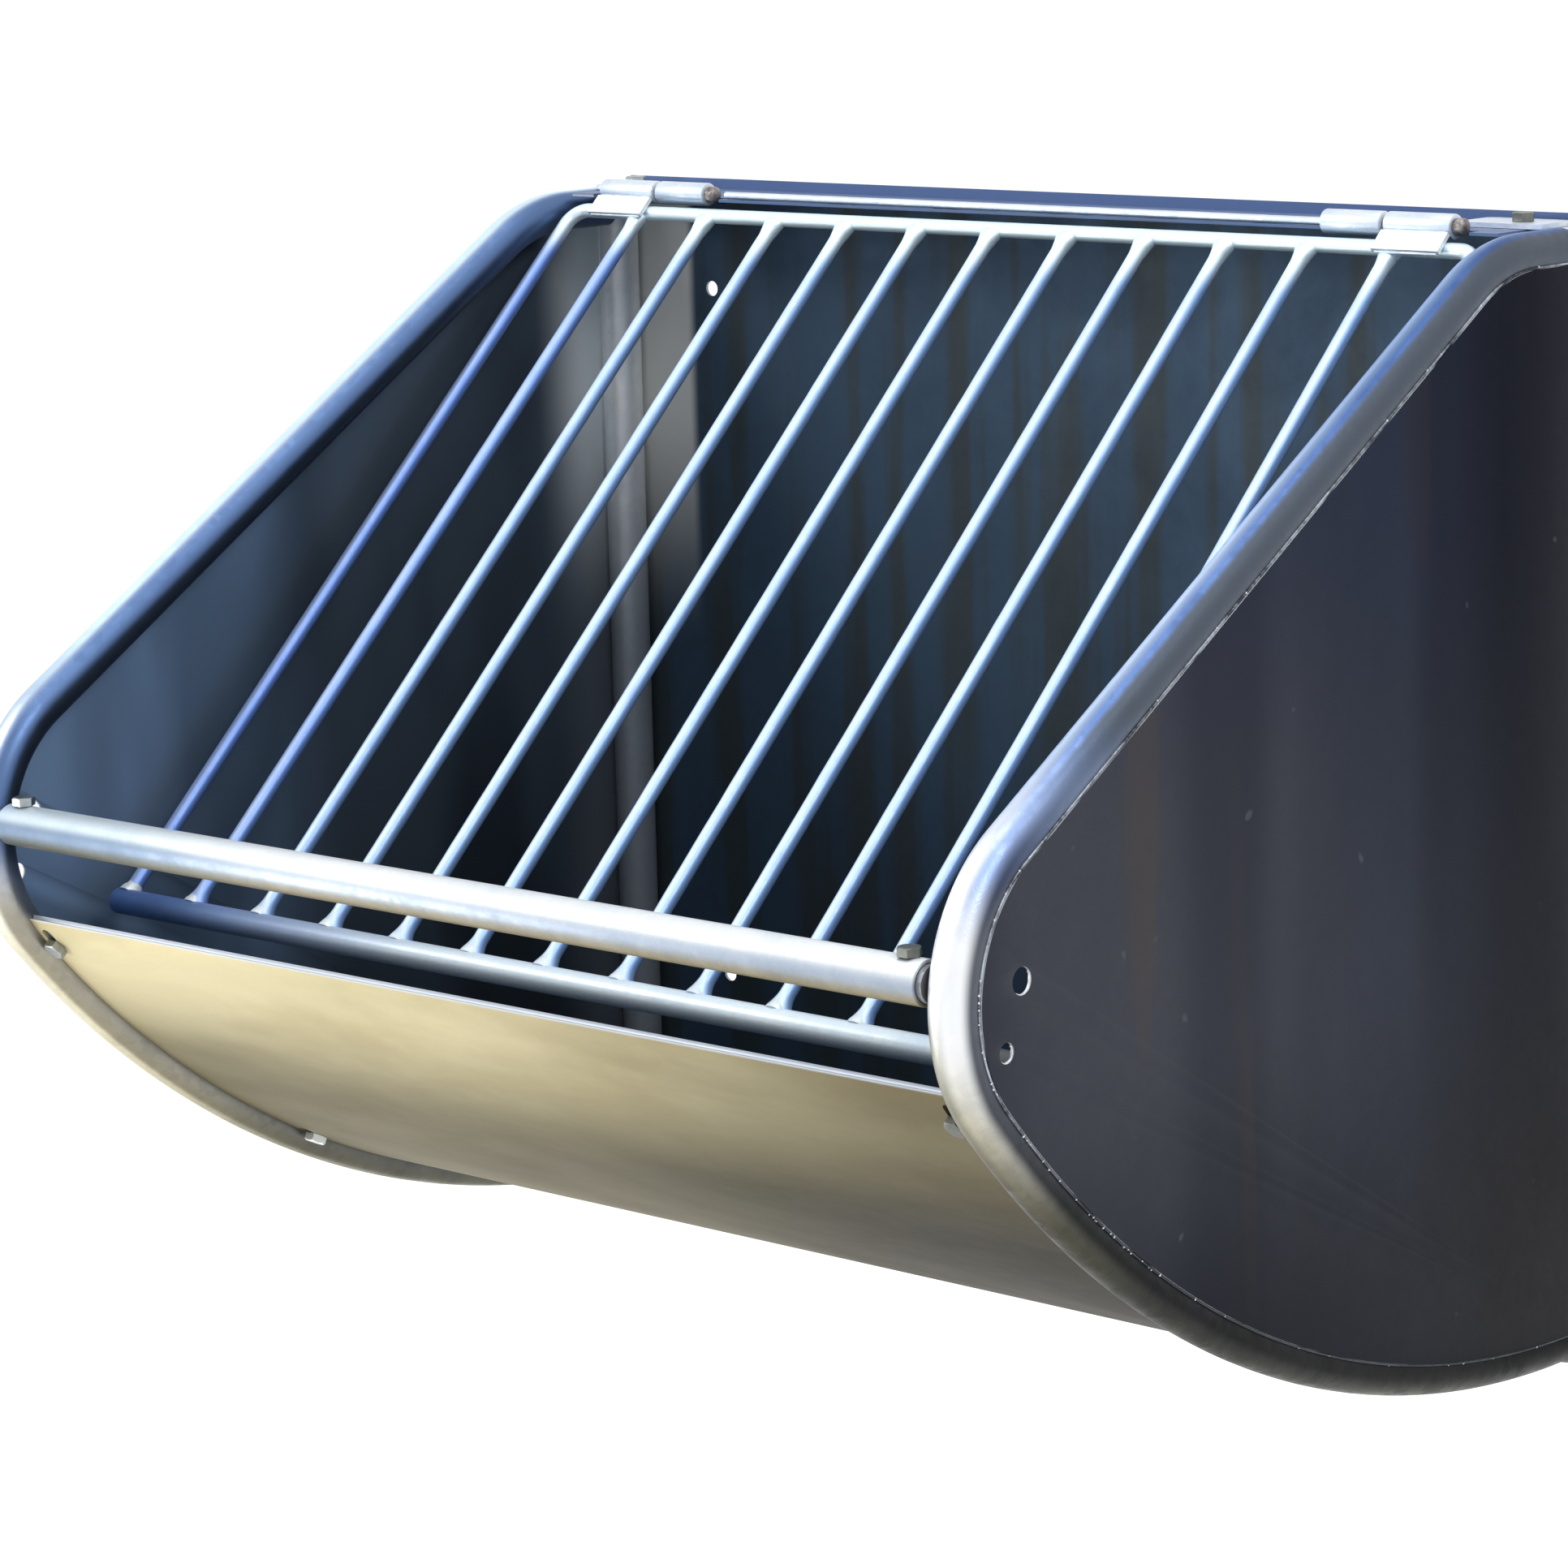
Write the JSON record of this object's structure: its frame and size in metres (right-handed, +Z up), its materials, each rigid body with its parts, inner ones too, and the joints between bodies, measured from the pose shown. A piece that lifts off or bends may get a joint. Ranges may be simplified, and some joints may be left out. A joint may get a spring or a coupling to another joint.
{
  "type": "wall-mounted hay feeder",
  "caption": "Wall-mounted galvanised hay feeder: curved trough between two tube-rimmed side sheets, under a hinged hay-saving grille of round bars.",
  "frame": {"origin": "on the rear face of the back sheet, midway between the sides, on the line of the upper wall screws", "axes": "+X along the wall to the feeder's right as seen from the front, +Y into the wall, +Z up"},
  "size_m": [0.842, 0.629, 0.7314],
  "materials": {
    "side_steel": "hot-dip galvanised sheet, weathered dark",
    "frame_steel": "hot-dip galvanised tube",
    "trough_steel": "hot-dip galvanised sheet",
    "back_steel": "hot-dip galvanised sheet",
    "front_bar_steel": "hot-dip galvanised pipe",
    "grille_steel": "hot-dip galvanised rod",
    "fitting_steel": "hot-dip galvanised steel",
    "fastener_steel": "zinc-plated steel"
  },
  "bodies": {
    "feeder_body": {"left_side_sheet": "side_steel", "left_rim_tube": "frame_steel", "left_back_upright": "frame_steel", "left_corner_plate": "fitting_steel", "left_corner_bolt": "fastener_steel", "left_corner_nut": "fastener_steel", "left_body_sleeve": "fitting_steel", "left_hinge_pin": "fitting_steel", "left_bar_stub": "fitting_steel", "left_bar_bolt": "fastener_steel", "trough_tab_left_front": "fitting_steel", "trough_bolt_left_front": "fastener_steel", "trough_nut_left_front": "fastener_steel", "trough_tab_left_middle": "fitting_steel", "trough_bolt_left_middle": "fastener_steel", "trough_nut_left_middle": "fastener_steel", "right_side_sheet": "side_steel", "right_rim_tube": "frame_steel", "right_back_upright": "frame_steel", "right_corner_plate": "fitting_steel", "right_corner_bolt": "fastener_steel", "right_corner_nut": "fastener_steel", "right_body_sleeve": "fitting_steel", "right_hinge_pin": "fitting_steel", "right_bar_stub": "fitting_steel", "right_bar_bolt": "fastener_steel", "trough_tab_right_front": "fitting_steel", "trough_bolt_right_front": "fastener_steel", "trough_nut_right_front": "fastener_steel", "trough_tab_right_middle": "fitting_steel", "trough_bolt_right_middle": "fastener_steel", "trough_nut_right_middle": "fastener_steel", "trough_sheet": "trough_steel", "back_sheet": "back_steel", "edge_rail": "fitting_steel", "front_bar": "front_bar_steel"},
    "grille": {"grille_frame_rod": "grille_steel", "grille_bar_02": "grille_steel", "grille_bar_03": "grille_steel", "grille_bar_04": "grille_steel", "grille_bar_05": "grille_steel", "grille_bar_06": "grille_steel", "grille_bar_07": "grille_steel", "grille_bar_08": "grille_steel", "grille_bar_09": "grille_steel", "grille_bar_10": "grille_steel", "grille_bar_11": "grille_steel", "grille_bar_12": "grille_steel", "grille_bottom_tube": "grille_steel", "left_grille_sleeve": "fitting_steel", "left_grille_lug": "fitting_steel", "right_grille_sleeve": "fitting_steel", "right_grille_lug": "fitting_steel"}
  },
  "joints": [
    {"name": "grille_hinge", "type": "hinge", "parent": "feeder_body", "child": "grille", "pos_m": [0, -0.074, 0.074], "axis": [-1, 0, 0], "range_deg": [-51, 135]}
  ]
}
